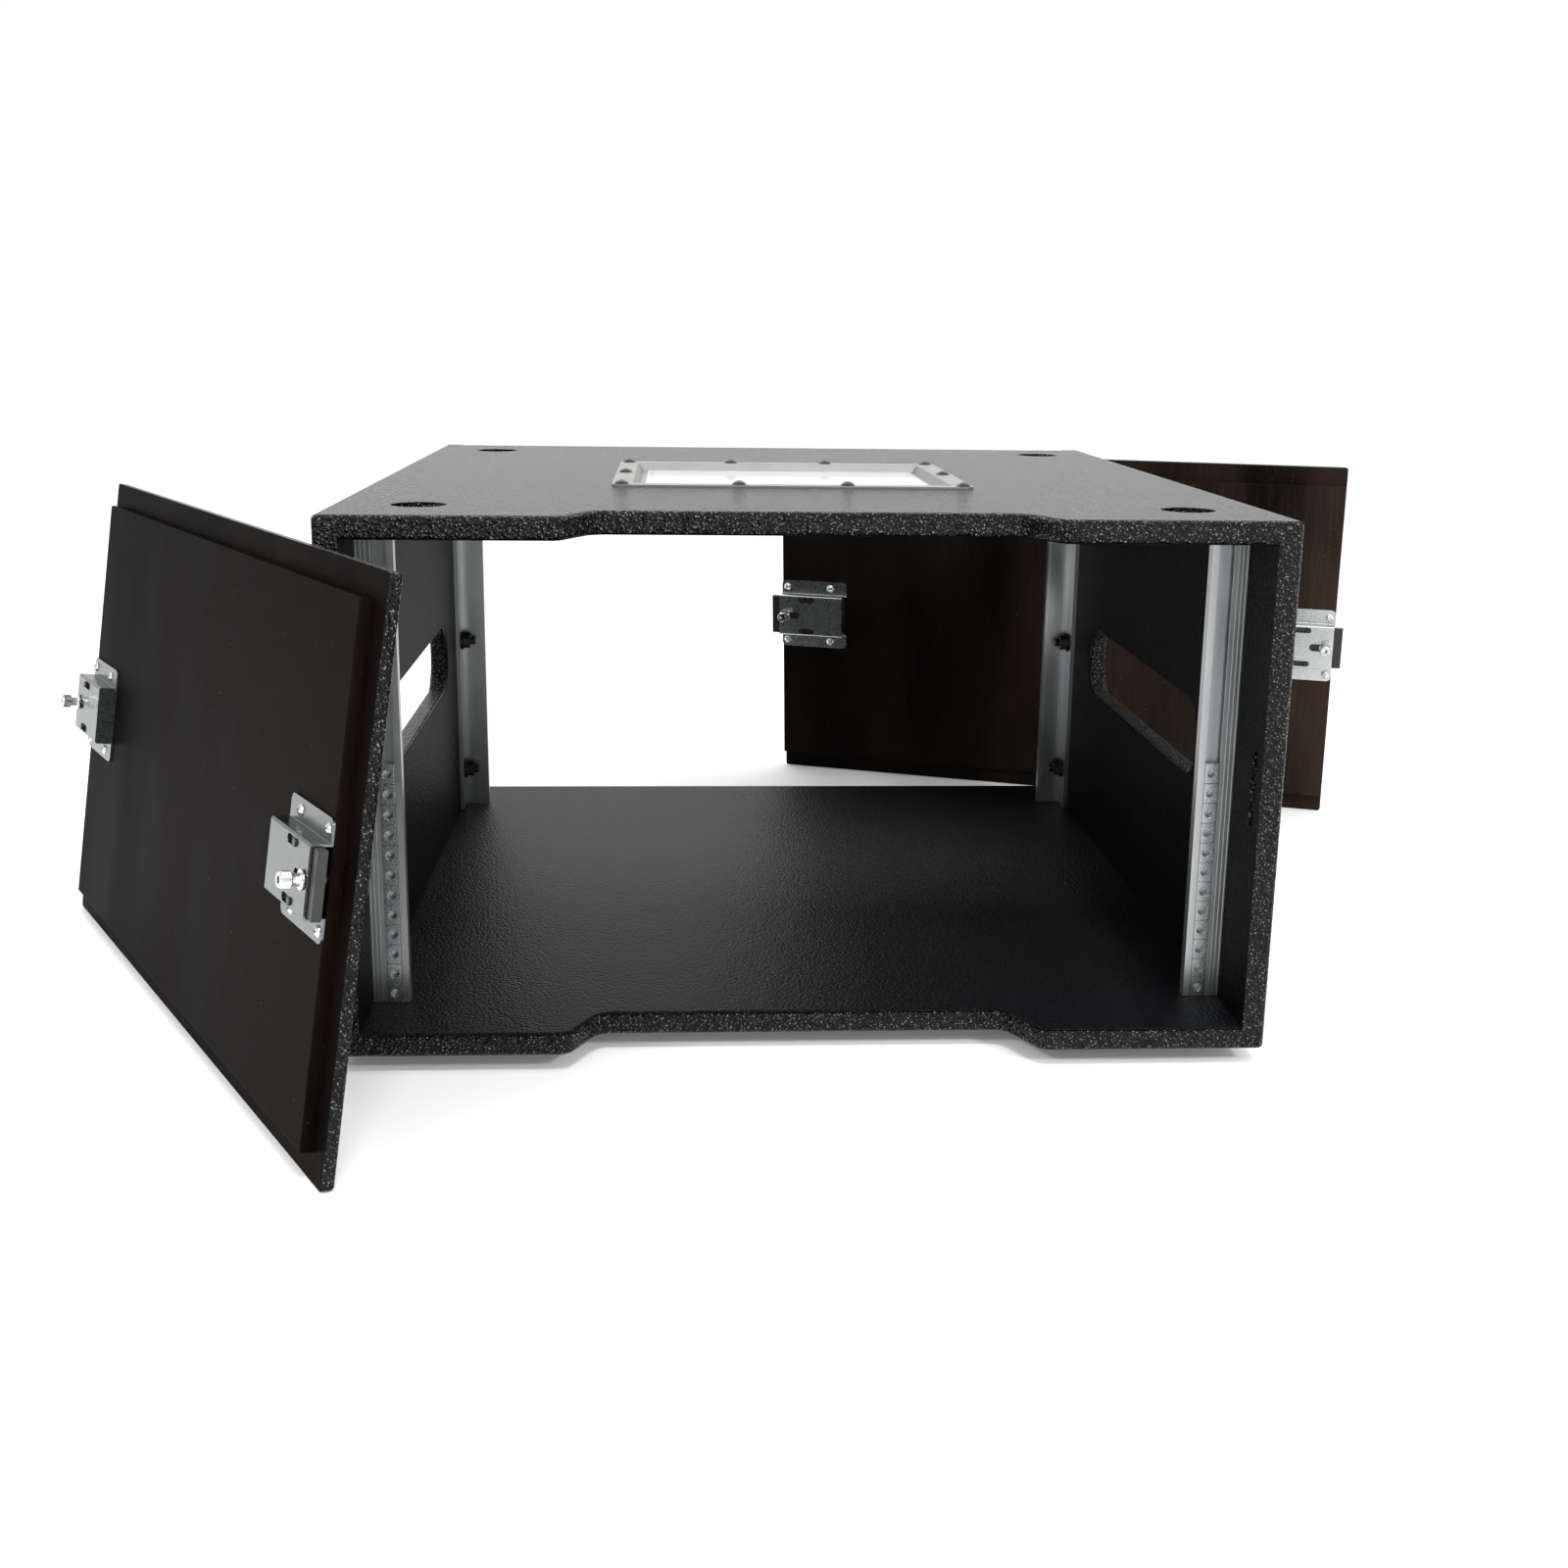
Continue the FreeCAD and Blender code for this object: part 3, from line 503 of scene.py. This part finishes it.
def cap_screw_rings(length):
    """A cap screw: tip, shank, washer, collar, knurled head and socket. Z = 0 is the top of the head."""
    count = CAP_SCREW_SIDES
    head, head_rise, collar, collar_rise = 4.25 * MM, 5.8 * MM, 3.4 * MM, 4.4 * MM
    washer, washer_rise, shank = 5.0 * MM, 1.0 * MM, 2.5 * MM
    washer_top = -head_rise - collar_rise
    washer_bottom = washer_top - washer_rise

    def knurl(angle):
        return head * (1.0 if round(angle * count / (2 * math.pi)) % 2 else 0.955)
    outline = (
        (shank * 0.8, -length),
        (shank, -length + 0.5 * MM),
        (shank, washer_bottom),
        (washer * 0.97, washer_bottom),
        (washer, washer_top - washer_rise * 0.85),
        (washer, washer_top - washer_rise * 0.15),
        (washer * 0.97, washer_top),
        (collar, washer_top),
        (collar * 0.92, washer_top + collar_rise * 0.55),
        (collar, -head_rise),
        (head * 0.93, -head_rise),
        (head * 0.955, -head_rise + 0.3 * MM),
        (knurl, -head_rise + 0.5 * MM),
        (knurl, -1.0 * MM),
        (head * 0.95, -0.7 * MM),
        (head * 0.86, -0.1 * MM),
        (head * 0.82, 0.0),
        (hexagon(2.15 * MM), 0.0),
        (hexagon(2.0 * MM), -0.25 * MM),
        (hexagon(2.0 * MM), -2.8 * MM),
        (0.6 * MM, -3.0 * MM),
    )
    return [ring(radius, height, count) for radius, height in outline]


def cap_screw(node, body, axis, material):
    """Replace a latch's cap screw with a detailed one on the same axis."""
    mesh = bmesh.new()
    centre, bottom, top = span(islands(node)[0], axis)
    stack_rings(mesh, placed(cap_screw_rings(top - bottom), axis, centre, top, 0.3))
    return new_piece(node + "_detail", mesh, material, body, node, smooth=25.0)


# ---------------------------------------------------------------- the model

def dress_case():
    dress("top_panel", shell_paint("top_paint", (0, 0, -1), 0.05))
    dress("bottom_panel", shell_paint("bottom_paint", (0, 0, 1), 0.14))
    dress("left_side_panel", shell_paint("left_paint", (1, 0, 0), 0.01))
    dress("right_side_panel", shell_paint("right_paint", (-1, 0, 0), 0.01))
    dress("label_dish", sheet_zinc("dish_metal", (0.27, 0.267, 0.262), 0.40, 0.46), 0.5 * MM, 3)
    dress("label_card", blank_card("card"), 0.15 * MM)
    foot = rubber("foot_rubber")
    for place in ("front_left", "rear_left", "front_right", "rear_right"):
        dress(place + "_foot", foot, 0.8 * MM, 3)


def dress_rails():
    rail = drawn_aluminium("rail_metal")
    nut = sheet_zinc("nut_zinc", (0.45, 0.47, 0.48))
    bolt = smooth_black("bolt_black", 0.38, 0.6)
    for end in ("front", "rear"):
        for side in ("left", "right"):
            dress(f"{end}_{side}_rail", rail)
            dress(f"{end}_{side}_slide_nuts", nut, 0.15 * MM)
            dress(f"{end}_{side}_rail_bolts", bolt, 0.35 * MM)


def dress_lids():
    # Per lid: dark and pale stain colours, then two X places between which the colour is painted lighter as
    # painted light; the front lid's colours are darker than the rear lid's.
    stains_and_painted_light = {"front_lid": ((0.0014, 0.0011, 0.0010), (0.0080, 0.0050, 0.0038), (-0.45, -0.25)),
              "rear_lid": ((0.0040, 0.0032, 0.0028), (0.034, 0.022, 0.0165), (0.10, 0.42))}
    # Lit and shaded copies of one zinc: painted dark on the front lid's latches as painted shade, pale on
    # the rear lid's as painted light.
    housings = {"front_lid": sheet_zinc("front_latch_zinc_painted_shade", (0.16, 0.175, 0.175)),
                "rear_lid": sheet_zinc("rear_latch_zinc_painted_light", (0.60, 0.63, 0.62))}
    cap = sheet_zinc("cap_zinc", (0.74, 0.74, 0.72), 0.16, 0.26)
    screw = sheet_zinc("screw_zinc", (0.70, 0.71, 0.70), 0.18, 0.3)
    tongue, knob = smooth_black("tongue_nylon"), smooth_black("knob_plastic", 0.45)
    for lid in ("front_lid", "rear_lid"):
        right, inner = lid_axes(lid)
        turn = math.degrees(math.atan2(right.y, right.x))
        dress(lid + "_plate", lid_wood(lid + "_plate_paint", -turn, *stains_and_painted_light[lid], inner), 0.2 * MM)
        dress(lid + "_panel", lid_wood(lid + "_panel_stain_painted_lighter", -turn, *stains_and_painted_light[lid]), 0.2 * MM)
        for side in ("left", "right"):
            latch = f"{lid}_{side}"
            dress(latch + "_latch", housings[lid], 0.25 * MM)
            dress(latch + "_bolt", tongue, 0.5 * MM)
            dress(latch + "_knob", knob, 0.3 * MM)
            cap_screw(latch + "_cap_screw", latch + "_slide_bolt", inner, cap)
            screws(latch + "_latch_screws", lid, inner, pan_rings, 2.0 * MM, screw)


def add_case_screws():
    screws("label_dish_screws", "case", Vector((0, 0, 1)), button_rings, 2.7 * MM,
           smooth_black("button_black", 0.24, 0.7))


# ---------------------------------------------------------------- stage

def add_floor():
    mesh = bmesh.new()
    bmesh.ops.create_grid(mesh, x_segments=8, y_segments=8, size=FLOOR_HALF_SIDE)
    data = bpy.data.meshes.new("floor")
    mesh.to_mesh(data)
    mesh.free()
    data.materials.append(stage_floor("floor_paint"))
    floor = bpy.data.objects.new("floor", data)
    floor.location.z = cad_box[0][2]
    bpy.context.scene.collection.objects.link(floor)


def add_light(name, place, target, size, power):
    light = bpy.data.lights.new(name, "AREA")
    light.shape = "RECTANGLE"
    light.size, light.size_y = size
    light.energy = power
    obj = bpy.data.objects.new(name, light)
    obj.location = place
    obj.rotation_euler = (Vector(target) - Vector(place)).to_track_quat("-Z", "Y").to_euler()
    bpy.context.scene.collection.objects.link(obj)


def add_world():
    """A plain white studio all round."""
    world = bpy.data.worlds.new("studio")
    world.use_nodes = True
    bpy.context.scene.world = world
    back = world.node_tree.nodes["Background"]
    back.inputs["Color"].default_value = (1.0, 1.0, 1.0, 1.0)
    back.inputs["Strength"].default_value = 1.0


def add_camera():
    yaw, pitch, roll = (math.radians(turn) for turn in (CAMERA_YAW, CAMERA_PITCH, CAMERA_ROLL))
    ahead = Vector((math.sin(yaw) * math.cos(pitch), math.cos(yaw) * math.cos(pitch), -math.sin(pitch)))
    right = Vector((math.cos(yaw), -math.sin(yaw), 0.0))
    up = right.cross(ahead)
    turned_right = right * math.cos(roll) - up * math.sin(roll)
    turned_up = right * math.sin(roll) + up * math.cos(roll)
    data = bpy.data.cameras.new("camera")
    data.lens = CAMERA_LENS
    data.sensor_width = 36.0
    data.clip_end = 100.0
    camera = bpy.data.objects.new("camera", data)
    camera.matrix_world = Matrix((turned_right, turned_up, -ahead)).transposed().to_4x4()
    camera.location = CAMERA_PLACE
    bpy.context.scene.collection.objects.link(camera)
    bpy.context.scene.camera = camera


dress_case()
dress_rails()
dress_lids()
add_case_screws()
add_floor()
add_world()
for light in LIGHTS:
    add_light(*light)
add_camera()
bpy.context.scene.view_settings.view_transform = "Standard"
